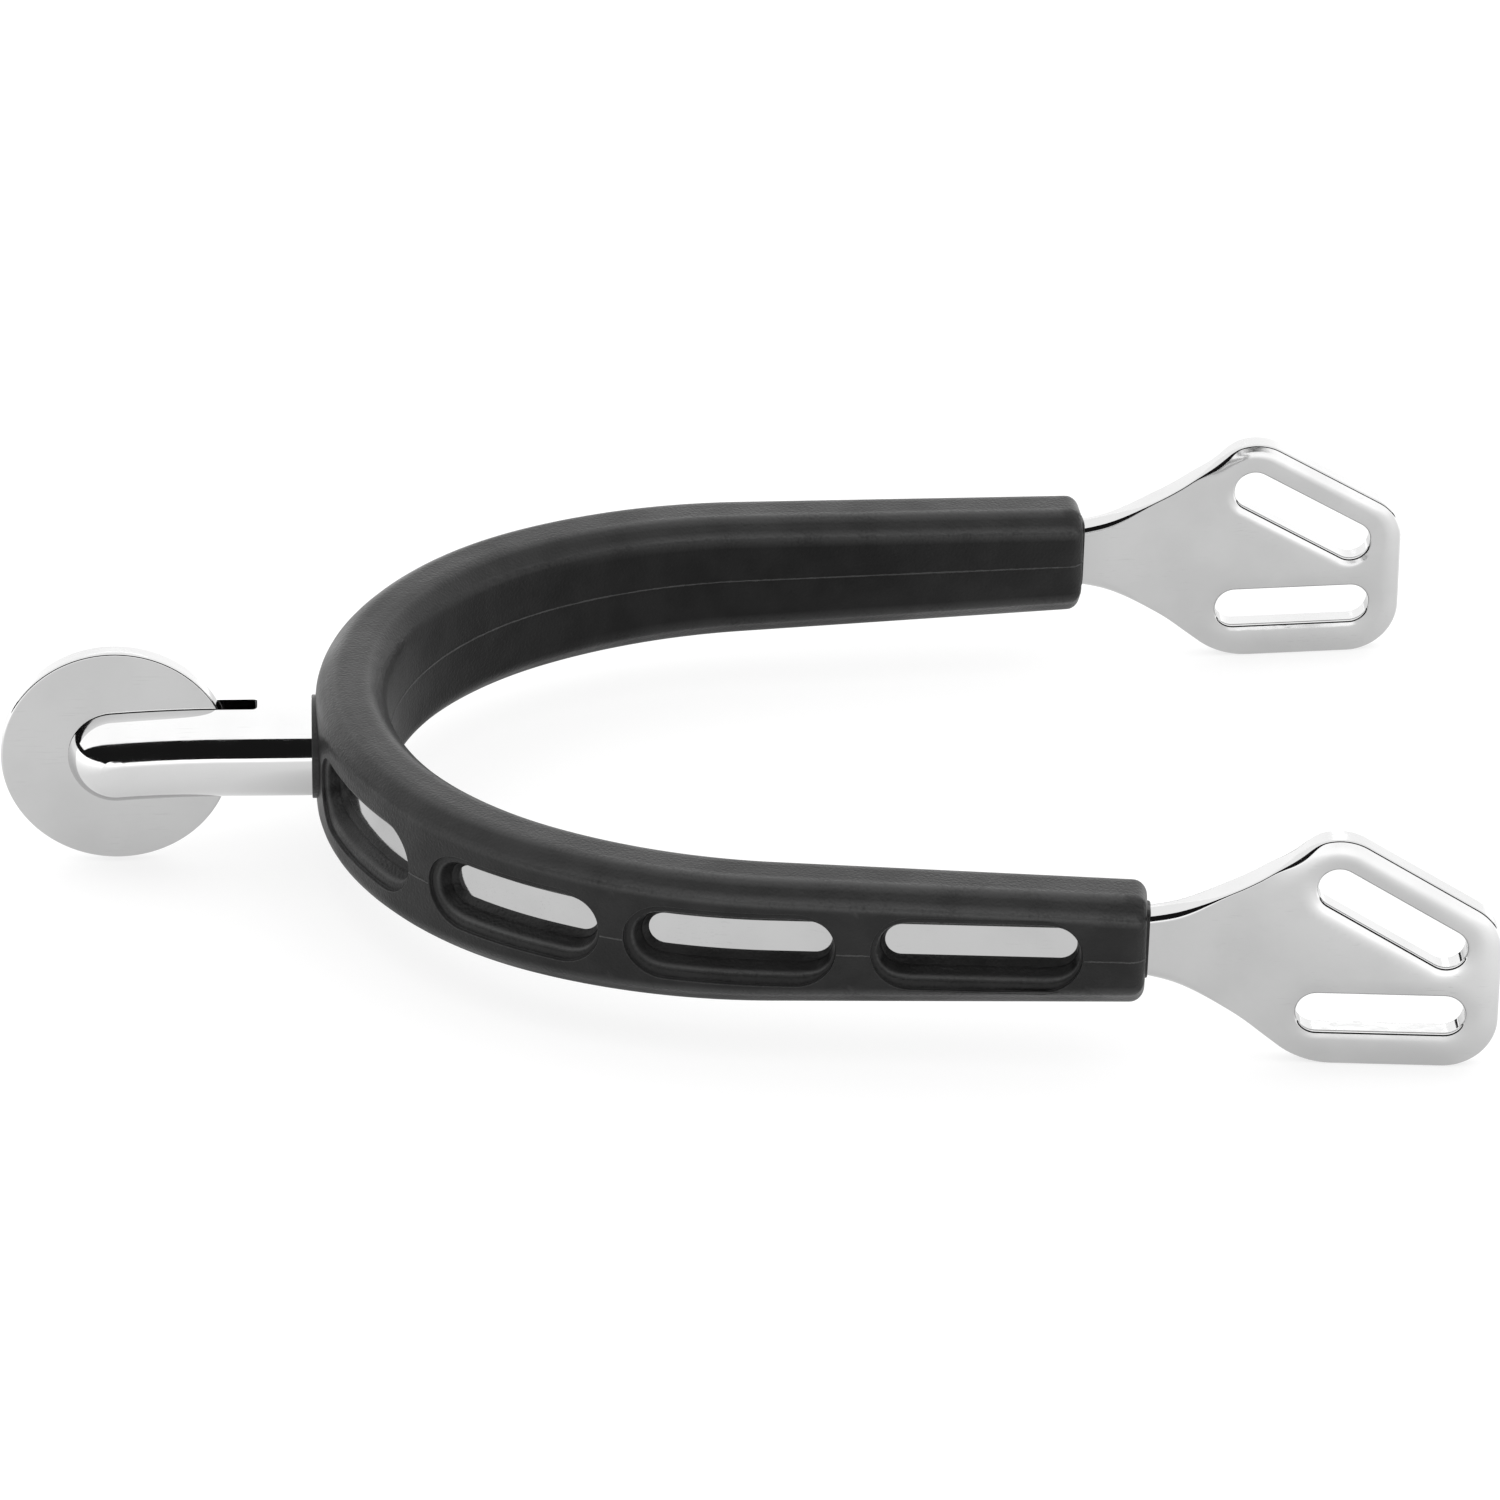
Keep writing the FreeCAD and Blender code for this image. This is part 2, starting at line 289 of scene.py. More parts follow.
def coverWrap(soft):
    # the section from the face's upper edge over the top and inside to its lower edge,
    # as (offset from the middle line, distance below the top, +1 upper or -1 lower half)
    shape = coverShape
    half, bevel = shape["halfThickness"], shape["bevel"]
    corners = [((half, bevel), 90, 45), ((half - bevel, 0), 45, 0),
               ((bevel - half, 0), 0, -45), ((-half, bevel), -45, -90)]
    upper = []
    for (offset, drop), start, end in corners:
        middle = math.radians((start + end) / 2)
        reach = soft / math.cos(math.radians(22.5))
        hub = (offset - reach * math.sin(middle), drop + reach * math.cos(middle))
        for step in range(5):
            lean = math.radians(start + (end - start) * step / 4)
            upper.append((hub[0] + soft * math.sin(lean), hub[1] - soft * math.cos(lean)))
        upper.append(None)
    points = []
    for index, spot in enumerate(upper):
        if spot is not None:
            points.append(spot)
            continue
        if index + 1 < len(upper):
            before, after = upper[index - 1], upper[index + 1]
            gaps = 6 if index // 6 == 1 else 3
            for step in range(1, gaps):
                share = step / gaps
                points.append(tuple(a + (b - a) * share for a, b in zip(before, after)))
    wrap = [(offset, drop, 1) for offset, drop in points]
    inside = points[-1]
    for step in range(1, 12):
        wrap.append((inside[0], ("inside", 1 - step / 6), inside[1]))
    wrap += [(offset, drop, -1) for offset, drop in reversed(points)]
    return wrap


wraps = {}


def wrapSpot(run, number):
    if run not in wraps:
        wraps[run] = coverWrap(softness(run))
    offset, drop, half = wraps[run][number]
    place, away = bandPlace(run)
    spot = place + away * offset
    height = halfHeight(spot.x)
    if isinstance(drop, tuple):
        z = drop[1] * (height - half)
    else:
        z = half * (height - drop)
    return (offset, z)


def faceEdge(run):
    # height of the flat outer face at a run
    shape = coverShape
    place, away = bandPlace(run)
    x = (place + away * shape["halfThickness"]).x
    return halfHeight(x) - shape["bevel"] - softness(run) * math.tan(math.radians(22.5))


def oval(start, end, low, high, count, sideCount):
    # a slot with round ends, as a closed list of (run, z): top, right, bottom, left;
    # the four sides meet half way round the corners
    radius = (high - low) / 2
    middle = (high + low) / 2
    straight = end - start - 2 * radius
    quarter = radius * math.pi / 4
    loop = []

    def spot(distance):
        # distance round from the top middle, going right
        total = 2 * straight + 2 * math.pi * radius
        distance %= total
        if distance < straight / 2:
            return ((start + end) / 2 + distance, high)
        distance -= straight / 2
        if distance < math.pi * radius:
            turn = distance / radius
            return (end - radius + radius * math.sin(turn), middle + radius * math.cos(turn))
        distance -= math.pi * radius
        if distance < straight:
            return (end - radius - distance, low)
        distance -= straight
        if distance < math.pi * radius:
            turn = distance / radius
            return (start + radius - radius * math.sin(turn), middle - radius * math.cos(turn))
        distance -= math.pi * radius
        return (start + radius + distance, high)

    topLength = straight + 2 * quarter
    sideLength = 2 * quarter
    at = -topLength / 2
    for length, steps in ((topLength, count), (sideLength, sideCount)) * 2:
        for step in range(steps):
            loop.append(spot(at + length * step / steps))
        at += length
    return loop


def buildCover():
    shape = coverShape
    rows = shape["sideRows"]
    half = shape["halfThickness"]
    wrap = range(len(coverWrap(shape["edgeSoftness"])))
    vertices = []
    faces = []
    index = {}
    highlightShare = []       # how much painted highlight each point gets, 0 to 1

    def vertex(run, offset, z, highlight=None):
        key = (round(run, 5), round(offset, 5), round(z, 5))
        if key not in index:
            place, away = bandPlace(run)
            spot = place + away * offset
            index[key] = len(vertices)
            vertices.append((spot.x * mm, spot.y * mm, z * mm))
            # a painted highlight along the bevel creases, weaker near the cover's end
            if highlight is None:
                side, drop = half - abs(offset), halfHeight(spot.x) - abs(z)
                gap = min(math.hypot(side, drop - shape["bevel"]), math.hypot(side - shape["bevel"], drop))
                highlight = (1 - smooth(gap, 0.05, 0.75)) * shape["edgeSoftness"] / softness(run)
                if run > fullRun - 2.2 and side > 0.3:
                    highlight *= 0.5
            highlightShare.append(highlight)
        return index[key]

    def quad(a, b, c, d):
        corners = []
        for corner in (a, b, c, d):
            if corner not in corners:
                corners.append(corner)
        if len(corners) > 2:
            faces.append(corners)

    # columns along the cover, shared by every strip
    edges = (0.0,) + windowRim["cellEdges"] + (fullRun - shape["endRounding"],)
    spans = []
    for start, end in zip(edges, edges[1:]):
        count = max(4, round((end - start) / shape["columnStep"]))
        spans.append([start + (end - start) * step / count for step in range(count + 1)])

    def sideZ(run, row):
        edge = faceEdge(run)
        return edge * (1 - 2 * row / rows)

    for number, columns in enumerate(spans):
        for left, right in zip(columns, columns[1:]):
            for first, second in zip(wrap, wrap[1:]):
                spots = [(left, wrapSpot(left, first)), (left, wrapSpot(left, second)),
                         (right, wrapSpot(right, second)), (right, wrapSpot(right, first))]
                quad(*(vertex(run, *spot) for run, spot in spots))
            if not 1 <= number <= len(coverWindows):
                for row in range(rows):
                    quad(vertex(left, half, sideZ(left, row)), vertex(right, half, sideZ(right, row)),
                         vertex(right, half, sideZ(right, row + 1)), vertex(left, half, sideZ(left, row + 1)))

    # window cells: from the cell's border to the rim, then down the wall
    for number, (start, end, openStart, openEnd) in enumerate(coverWindows):
        columns = spans[number + 1]
        count = len(columns) - 1
        border = [(run, faceEdge(run)) for run in columns[:-1]]
        border += [(columns[-1], sideZ(columns[-1], row)) for row in range(rows)]
        border += [(run, -faceEdge(run)) for run in reversed(columns[1:])]
        border += [(columns[0], sideZ(columns[0], row)) for row in reversed(range(1, rows + 1))]
        rim = oval(start, end, windowRim["bottom"], windowRim["top"], count, rows)
        opening = oval(openStart, openEnd, windowRim["openingBottom"], windowRim["openingTop"], count, rows)
        depth = half - shape["steelHalf"]
        rings = []
        highlights = [None] * 5
        first = windowWall[0][0]
        lip = [(a[0] + (b[0] - a[0]) * first, a[1] + (b[1] - a[1]) * first) for a, b in zip(rim, opening)]
        for share in (0, 0.2, 0.45, 0.7, 0.88):
            rings.append([(a[0] + (b[0] - a[0]) * share, half, a[1] + (b[1] - a[1]) * share)
                          for a, b in zip(border, lip)])
        for inward, down in windowWall:
            rings.append([(a[0] + (b[0] - a[0]) * inward, half - down * depth, a[1] + (b[1] - a[1]) * inward)
                          for a, b in zip(rim, opening)])
            # painted highlight along the lip and the bead
            lipHighlight = windowHighlights["lip"] * (1 - smooth(abs(inward), 0.0, windowHighlights["lipWidth"]))
            beadGap = abs(inward - windowHighlights["bead"])
            beadHighlight = windowHighlights["beadHighlight"] * (1 - smooth(beadGap, 0.0, windowHighlights["beadWidth"]))
            highlights.append(max(lipHighlight if down < 0.1 else 0, beadHighlight))
        for outer, inner, outerHighlight, innerHighlight in zip(rings, rings[1:], highlights, highlights[1:]):
            for step in range(len(outer)):
                after = (step + 1) % len(outer)
                quad(vertex(*outer[step], outerHighlight), vertex(*outer[after], outerHighlight),
                     vertex(*inner[after], innerHighlight), vertex(*inner[step], innerHighlight))

    # rounded end, flat face and the thin cuff round the steel
    base = fullRun - shape["endRounding"]
    section = [wrapSpot(base, entry) for entry in wrap]
    section += [(half, sideZ(base, row)) for row in reversed(range(1, rows))]
    height = halfHeight(bandPlace(base)[0].x)
    loops = [[(base, offset, z) for offset, z in section]]
    for step in range(1, 9):
        turn = math.radians(90 * step / 8)
        inset = shape["endRounding"] * (1 - math.cos(turn))
        run = base + shape["endRounding"] * math.sin(turn)
        loops.append([(run, offset * (1 - inset / half), z * (1 - inset / height)) for offset, z in section])

    def cuffLoop(run, stand):
        wide = shape["steelHalf"] + stand
        high, low = shape["cuffTop"] + stand, shape["cuffBottom"] - stand * 0.4
        middle, tall = (high + low) / 2, (high - low) / 2
        loop = []
        for offset, z in section:
            side, rise = offset / half, z / height
            size = (abs(side) ** 5 + abs(rise) ** 5) ** 0.2
            loop.append((run, wide * side / size, middle + tall * rise / size))
        return loop

    stand = shape["cuffStand"]
    length = shape["cuffLength"]
    for ahead, width in ((0, stand + 0.12), (0.1, stand + 0.03), (0.5, stand), (0.8, stand - 0.05),
                         (0.95, stand - 0.14), (1.0, stand - 0.26), (0.9, -0.03)):
        loop = cuffLoop(fullRun, width)
        loops.append([(run + length * ahead * (0.75 + 0.25 * z / height), offset, z)
                      for run, offset, z in loop])
    for outer, inner in zip(loops, loops[1:]):
        for step in range(len(outer)):
            after = (step + 1) % len(outer)
            quad(vertex(*outer[step]), vertex(*outer[after]), vertex(*inner[after]), vertex(*inner[step]))

    # the parting line of the mould: a thin raised flash between the windows and round the end, with a full
    # painted highlight
    def flash(path):
        rings = []
        for number, (run, offset, z, forward, out) in enumerate(path):
            tail = smooth(number, 0, 3) * smooth(len(path) - 1 - number, 0, 3)
            wide = flashShape["halfWidth"] * chance.uniform(0.75, 1.25)
            high = flashShape["height"] * chance.uniform(0.6, 1.3) * (0.4 + 0.6 * tail)
            z += chance.uniform(-1, 1) * flashShape["wander"]
            ring = []
            for across, rise in ((-1, -0.3), (-0.45, 0.75), (0, 1), (0.45, 0.75), (1, -0.3)):
                lift = high * rise
                ring.append(vertex(run + forward * lift, offset + out * lift, z + across * wide, 1))
            rings.append(ring)
        for first, second in zip(rings, rings[1:]):
            for number in range(4):
                quad(first[number], first[number + 1], second[number + 1], second[number])

    chance = random.Random(7)
    landings = [(start[1] + 0.02, end[0] - 0.02) for start, end in zip(coverWindows, coverWindows[1:])]
    for start, end in landings + [(coverWindows[-1][1] + 0.02, base)]:
        count = max(5, round((end - start) / 0.35))
        flash([(start + (end - start) * step / count, half, flashShape["outerHeight"], 0, 1)
               for step in range(count + 1)])
    count = round(base / 0.5)
    flash([(base * step / count, -half, flashShape["innerHeight"], 0, -1) for step in range(count, -1, -1)])
    for side, level in ((1, flashShape["outerHeight"]), (-1, flashShape["innerHeight"])):
        turns = [math.radians(90 * step / 8) for step in range(9)]
        path = [(base + shape["endRounding"] * math.sin(turn),
                 side * (half - shape["endRounding"] * (1 - math.cos(turn))), level,
                 math.sin(turn), side * math.cos(turn)) for turn in turns]
        flash(path if side == 1 else path[::-1])

    # the far half mirrors the near half
    mirror = {}
    for number, (x, y, z) in enumerate(list(vertices)):
        if abs(y) < 1e-7:
            mirror[number] = number
        else:
            mirror[number] = len(vertices)
            vertices.append((x, -y, z))
            highlightShare.append(highlightShare[number])
    faces = [face[::-1] for face in faces] + [[mirror[corner] for corner in face] for face in faces]

    # the low collar round the neck, with a painted highlight
    low, high = (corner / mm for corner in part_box("neck"))
    neckRadius = (high.y - low.y) / 2
    collar = shape["collarSection"]
    start = len(vertices)
    steps = shape["collarSteps"]
    for step in range(steps):
        turn = 2 * math.pi * step / steps
        for ahead, out in collar:
            reach = (neckRadius + out) * mm
            vertices.append((-(shape["heelRadius"] + half + ahead) * mm, reach * math.cos(turn),
                             reach * math.sin(turn)))
            highlightShare.append(shape["collarHighlight"])
    for step in range(steps):
        a, b = start + step * len(collar), start + (step + 1) % steps * len(collar)
        for number in range(len(collar) - 1):
            faces.append([a + number, b + number, b + number + 1, a + number + 1])

    mesh = bpy.data.meshes.new("gripRubber")
    mesh.from_pydata(vertices, [], faces)
    # the painted highlight share of each point, read by the rubber material
    layer = mesh.attributes.new("paintedHighlight", "FLOAT", "POINT")
    layer.data.foreach_set("value", highlightShare)
    for face in mesh.polygons:
        face.use_smooth = True
    piece = bpy.data.objects.new("gripRubber", mesh)
    bpy.context.scene.collection.objects.link(piece)
    print("grip rubber:", len(vertices), "points,", len(faces), "faces")
    return piece


grip = buildCover()
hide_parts("grip_cover")
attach(grip, "spur")


# the steel band: plain under the cover, opening into a plate with two strap slots on each arm;
# plate corners are (x past the cover's end, z, corner radius)
bandShape = {
    "halfThickness": 1.4,
    "plateCorners": ((-5.5, 3.6, 0), (5.9, 3.3, 29.0), (18.5, 13.8, 5.3), (35.5, 3.6, 5.2),
                     (35.5, -13.0, 5.5), (15.9, -13.0, 8.5), (3.9, -3.0, 24.0), (-5.5, -3.26, 0)),
    "slots": ((24.5, 3.8, -31.0), (23.7, -7.1, 0.0)),     # centre and tilt
    "slotLength": 17.0,
    "slotWidth": 4.2,
    "edgeRadius": 0.22,
    "slotEdgeRadius": 0.32,
    "roundEdgeRadius": 1.3,         # where the band leaves the cover
    "dishWidth": 2.1,                # the faces fall away gently towards every edge
    "dishSlope": 0.235,
    "dishEven": 0.7,
    "hiddenStart": -3.0,
    "backHalfHeight": 5.5,           # the plain strip
    "frontHalfHeight": 3.4,
    "stripCorner": 0.9,
}


def roundedOutline(corners, step):
    # a closed line through rounded corners, as points and their inward directions
    points = []
    for number, (x, z, radius) in enumerate(corners):
        corner = Vector((x, z))
        back = (Vector(corners[number - 1][:2]) - corner).normalized()
        ahead = (Vector(corners[(number + 1) % len(corners)][:2]) - corner).normalized()
        if radius == 0:
            points.append(corner)
            continue
        half = back.angle(ahead) / 2
        reach = radius / math.tan(half)
        hub = corner + (back + ahead).normalized() * (radius / math.sin(half))
        start = corner + back * reach - hub
        sweep = start.angle_signed(corner + ahead * reach - hub)
        count = max(3, round(abs(sweep) * radius / step))
        for part in range(count + 1):
            turn = -sweep * part / count
            points.append(hub + Vector((start.x * math.cos(turn) - start.y * math.sin(turn),
                                        start.x * math.sin(turn) + start.y * math.cos(turn))))
    filled = []
    for first, second in zip(points, points[1:] + points[:1]):
        count = max(1, round((second - first).length / step))
        filled += [first.lerp(second, part / count) for part in range(count)]
    inward = []
    for number, point in enumerate(filled):
        line = (filled[(number + 1) % len(filled)] - filled[number - 1]).normalized()
        inward.append(Vector((line.y, -line.x)))
    return filled, inward


def slotOutline(centre, tilt, step):
    # round the slot the other way, so that inward means into the steel
    radius = bandShape["slotWidth"] / 2
    reach = bandShape["slotLength"] / 2 - radius
    turn = math.radians(tilt)
    points = []
    for side in (1, -1):
        count = round(math.pi * radius / step)
        for part in range(count + 1):
            lean = math.radians(-90) + math.pi * part / count
            points.append(Vector((side * (reach + radius * math.cos(lean)), side * radius * math.sin(lean))))
        count = round(2 * reach / step)
        for part in range(1, count):
            points.append(Vector((side * (reach - 2 * reach * part / count), side * radius)))
    turned = [Vector((centre[0] + p.x * math.cos(turn) - p.y * math.sin(turn),
                      centre[1] + p.x * math.sin(turn) + p.y * math.cos(turn))) for p in points]
    inward = []
    for number in range(len(turned)):
        line = (turned[(number + 1) % len(turned)] - turned[number - 1]).normalized()
        inward.append(Vector((line.y, -line.x)))
    return turned, inward


def slotDistance(point, centre, tilt):
    turn = math.radians(tilt)
    radius = bandShape["slotWidth"] / 2
    reach = bandShape["slotLength"] / 2 - radius
    gap = point - Vector(centre)
    along = gap.x * math.cos(turn) + gap.y * math.sin(turn)
    over = gap.y * math.cos(turn) - gap.x * math.sin(turn)
    return math.hypot(max(0, abs(along) - reach), over) - radius


def plateEdgeRadius(point):
    shape = bandShape
    exitRound = (1 - smooth(point.x, 2.0, 8.5)) * smooth(point.x, -4.2, -1.6)
    shoulder = smooth(point.x, 12.0, 14.8) * (1 - smooth(point.x, 14.8, 17.5)) * (1 if point.y > 5 else 0)
    more = max(exitRound, 0.6 * shoulder)
    return shape["edgeRadius"] + (shape["roundEdgeRadius"] - shape["edgeRadius"]) * more


def rimRadius(point, slot):
    return plateEdgeRadius(point) if slot is None else bandShape["slotEdgeRadius"]


def dish(distance, width):
    # how far the face has fallen: an even slope at the edge that fades out inwards
    slope, even = bandShape["dishSlope"], bandShape["dishEven"]
    if distance >= width:
        return 0
    if distance >= even:
        return 0.5 * slope * (width - distance) ** 2 / (width - even)
    return slope * ((width - even) / 2 + even - distance)


def buildPlate():
    # one plate in flat (x, z, offset): a front and a back face joined by rounded edges
    shape = bandShape
    outline, inward = roundedOutline(shape["plateCorners"], 0.35)
    loops = [(outline, inward, None)]
    for x, z, tilt in shape["slots"]:
        loops.append(slotOutline((x, z), tilt, 0.3) + ((x, z, tilt),))
    tree = kdtree.KDTree(len(outline))
    for number, point in enumerate(outline):
        tree.insert((point.x, point.y, 0), number)
    tree.balance()

    def outlineDistance(point):
        best = math.inf
        number = tree.find((point.x, point.y, 0))[1]
        for step in (-1, 0):
            first, second = outline[number + step], outline[(number + step + 1) % len(outline)]
            line = second - first
            share = min(1, max(0, (point - first).dot(line) / line.length_squared))
            best = min(best, (first + line * share - point).length)
        return best

    def faceOffset(point):
        fall = dish(outlineDistance(point), shape["dishWidth"]) * smooth(point.x, 11, 17)
        for x, z, tilt in shape["slots"]:
            fall += dish(slotDistance(point, (x, z), tilt), shape["dishWidth"] * 0.9)
        return shape["halfThickness"] - fall

    def faceDirection(point):
        little = 0.05
        acrossX = faceOffset(point + Vector((little, 0))) - faceOffset(point - Vector((little, 0)))
        acrossZ = faceOffset(point + Vector((0, little))) - faceOffset(point - Vector((0, little)))
        return Vector((-acrossX / (2 * little), -acrossZ / (2 * little), 1)).normalized()

    flat = []         # points of the face for the triangulation
    borders = []
    rimStarts = []
    for points, ways, slot in loops:
        start = len(flat)
        for point, way in zip(points, ways):
            flat.append(point + way * rimRadius(point, slot))
        size = len(points)
        borders += [(start + number, start + (number + 1) % size) for number in range(size)]
        rimStarts.append(start)
        for extra in (0.12, 0.27, 0.45, 0.67, 0.93, 1.2):
            for point, way in zip(points, ways):
                flat.append(point + way * (rimRadius(point, slot) + extra))
    spacing = 0.5
    for column in range(int(shape["hiddenStart"] * 2) - 4, 76):
        for row in range(-28, 30):
            point = Vector((column * spacing + (row % 2) * spacing / 2, row * spacing))
            if outlineDistance(point) < 1.75 or not insideLoop(point, outline):
                continue
            if min(slotDistance(point, (x, z), tilt) for x, z, tilt in shape["slots"]) < 1.85:
                continue
            flat.append(point)
    meshed = geometry.delaunay_2d_cdt(flat, borders, [], 0, 1e-5)
    flat, triangles = meshed[0], meshed[2]
    kept = []
    for triangle in triangles:
        first, second, third = (flat[corner] for corner in triangle)
        middle = (first + second + third) / 3
        if abs((second - first).cross(third - first)) < 1e-4:
            continue
        if not insideLoop(middle, flat[:len(outline)]):
            continue
        gap = min(slotDistance(middle, (x, z), tilt) for x, z, tilt in shape["slots"])
        if gap < shape["slotEdgeRadius"] - 0.01:
            continue
        kept.append(list(triangle))
    vertices, directions, faces = [], [], []
    for side in (1, -1):
        start = len(vertices)
        for point in flat:
            way = faceDirection(point)
            vertices.append((point.x, point.y, side * faceOffset(point)))
            directions.append((way.x, way.y, side * way.z))
        for triangle in kept:
            corners = [start + corner for corner in triangle]
            faces.append(corners if side == 1 else corners[::-1])
    back = len(flat)
    for (points, ways, slot), first in zip(loops, rimStarts):
        size = len(points)
        rings = [list(range(first, first + size))]
        steps = 6
        for side in (1, -1):
            for step in range(1 if side == 1 else 0, steps + (1 if side == 1 else 0)):
                lean = math.radians(90) * (step if side == 1 else steps - step) / steps
                ring = []
                for number, (point, way) in enumerate(zip(points, ways)):
                    radius = rimRadius(point, slot)
                    edge = Vector(vertices[first + number])
                    faceWay = Vector(directions[first + number])
                    # the rounding starts at the face's own tilt
                    tilt = math.asin(min(1, max(-1, -(faceWay.x * way.x + faceWay.y * way.y))))
                    slant = tilt + (math.radians(90) - tilt) * lean / math.radians(90)
                    out = radius * (math.sin(slant) - math.sin(tilt)) / (1 - math.sin(tilt))
                    spot = point + way * (radius - out)
                    offset = edge.z - radius * (math.cos(tilt) - math.cos(slant))
                    ring.append(len(vertices))
                    vertices.append((spot.x, spot.y, side * offset))
                    directions.append((-way.x * math.sin(slant), -way.y * math.sin(slant),
                                       side * math.cos(slant)))
                rings.append(ring)
        rings.append([back + number for number in range(first, first + size)])
        for upper, lower in zip(rings, rings[1:]):
            for number in range(size):
                after = (number + 1) % size
                faces.append([upper[number], upper[after], lower[after], lower[number]])
    return vertices, directions, faces


def insideLoop(point, loop):
    inside = False
    for first, second in zip(loop, loop[1:] + loop[:1]):
        if (first.y > point.y) != (second.y > point.y):
            if point.x < first.x + (second.x - first.x) * (point.y - first.y) / (second.y - first.y):
                inside = not inside
    return inside


def buildBand():
    # the plain band under the cover, and a plate on each arm
    shape = bandShape
    half = shape["halfThickness"]
    vertices, directions, faces = [], [], []
    section = []
    corner = shape["stripCorner"]
    for quarter, (offsetWay, heightWay) in enumerate(((1, 1), (-1, 1), (-1, -1), (1, -1))):
        for step in range(6):
            lean = math.radians(18 * step) if quarter % 2 == 0 else math.radians(90 - 18 * step)
            section.append((offsetWay * (half - corner + corner * math.cos(lean)), heightWay,
                            corner * (1 - math.sin(lean)),
                            offsetWay * math.cos(lean), heightWay * math.sin(lean)))
    columns = 2 * round(fullRun)
    for column in range(-columns, columns + 1):
        run = column / columns * (fullRun - 0.5)
        place, away = bandPlace(abs(run))
        share = (place.x + coverShape["heelRadius"]) / (frontX + coverShape["heelRadius"])
        height = shape["backHalfHeight"] + (shape["frontHalfHeight"] - shape["backHalfHeight"]) * share
        mirror = 1 if run >= 0 else -1
        for offset, heightWay, drop, outWay, upWay in section:
            spot = place + away * offset
            way = away * outWay
            vertices.append((spot.x, spot.y * mirror, heightWay * (height - drop)))
            directions.append((way.x, way.y * mirror, upWay))
    size = len(section)
    for column in range(2 * columns):
        for number in range(size):
            after = (number + 1) % size
            a, b = column * size, (column + 1) * size
            faces.append([a + number, b + number, b + after, a + after])
    flatVertices, flatDirections, flatFaces = buildPlate()
    start, away = bandPlace(fullRun)
    onward = Vector((-away.y, away.x, 0))
    if onward.x < 0:
        onward = -onward
    for mirror in (1, -1):
        first = len(vertices)
        for (x, z, offset), (wayX, wayZ, wayOut) in zip(flatVertices, flatDirections):
            run = (x - offset * away.x) / onward.x
            spot = start + onward * run + away * offset
            way = onward * wayX + away * wayOut + Vector((0, 0, wayZ))
            vertices.append((spot.x, spot.y * mirror, z))
            directions.append((way.x, way.y * mirror, way.z))
        for face in flatFaces:
            corners = [first + corner for corner in face]
            faces.append(corners if mirror == 1 else corners[::-1])
    mesh = bpy.data.meshes.new("heelBandSteel")
    mesh.from_pydata([(x * mm, y * mm, z * mm) for x, y, z in vertices], [], faces)
    for face in mesh.polygons:
        face.use_smooth = True
    mesh.normals_split_custom_set_from_vertices([Vector(way).normalized() for way in directions])
    piece = bpy.data.objects.new("heelBandSteel", mesh)
    bpy.context.scene.collection.objects.link(piece)
    print("heel band:", len(vertices), "points,", len(faces), "faces")
    return piece


band = buildBand()
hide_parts("heel_band")
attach(band, "spur")


# the disc, turned on a lathe
discShape = {
    "segments": 240,
    "rimLine": 0.35,
    "edgeRadius": 0.25,
    "boreEdge": 0.1,
    "bore": 1.55,
}


def buildDisc():
    shape = discShape
    low, high = (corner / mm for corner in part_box("rowel_disc"))
    hub = (low + high) / 2
    radius = (high.x - low.x) / 2
    half = (high.y - low.y) / 2
    edge, bore = shape["edgeRadius"], shape["boreEdge"]
    profile = []
    for step in range(7):
        lean = math.radians(15 * step)
        profile.append((shape["bore"] + bore - bore * math.cos(lean), half - bore + bore * math.sin(lean)))
    for share in (0.02, 0.3, 0.6, 0.9, 0.985):
        profile.append((shape["bore"] + bore + (radius - edge - shape["bore"] - bore) * share, half))
    for step in range(9):
        lean = math.radians(90 - 11.25 * step)
        profile.append((radius - edge + edge * math.cos(lean), half - edge + edge * math.sin(lean)))
    profile.append((radius, shape["rimLine"]))
    profile += [(reach, -side) for reach, side in reversed(profile)]
    vertices, faces = [], []
    count = shape["segments"]
    for step in range(count):
        turn = 2 * math.pi * step / count
        for reach, side in profile:
            vertices.append(((hub.x + reach * math.cos(turn)) * mm, (hub.y + side) * mm,
                             (hub.z + reach * math.sin(turn)) * mm))
    size = len(profile)
    for step in range(count):
        a, b = step * size, (step + 1) % count * size
        for number in range(size):
            after = (number + 1) % size
            faces.append([a + number, b + number, b + after, a + after])
    mesh = bpy.data.meshes.new("rowelDiscSteel")
    mesh.from_pydata(vertices, [], faces)
    for face in mesh.polygons:
        face.use_smooth = True
    piece = bpy.data.objects.new("rowelDiscSteel", mesh)
    bpy.context.scene.collection.objects.link(piece)
    print("disc:", len(vertices), "points")
    return piece


disc = buildDisc()
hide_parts("rowel_disc")
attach(disc, "rowel")

# materials: shared effects are node groups that put out heights and masks


def newGroup(name, inputs, outputs):
    group = bpy.data.node_groups.new(name, "ShaderNodeTree")
    for label, value in inputs.items():
        socket = group.interface.new_socket(name=label, in_out="INPUT", socket_type="NodeSocketFloat")
        socket.default_value = value
    for label in outputs:
        group.interface.new_socket(name=label, in_out="OUTPUT", socket_type="NodeSocketFloat")
    start = group.nodes.new("NodeGroupInput")
    end = group.nodes.new("NodeGroupOutput")
    place = group.nodes.new("ShaderNodeTexCoord")
    return group, start, end, place.outputs["Object"]


def mathNode(tree, operation, first, second):
    node = tree.nodes.new("ShaderNodeMath")
    node.operation = operation
    for socket, value in zip(node.inputs, (first, second)):
        if isinstance(value, (int, float)):
            socket.default_value = value
        else:
            tree.links.new(value, socket)
    return node.outputs[0]


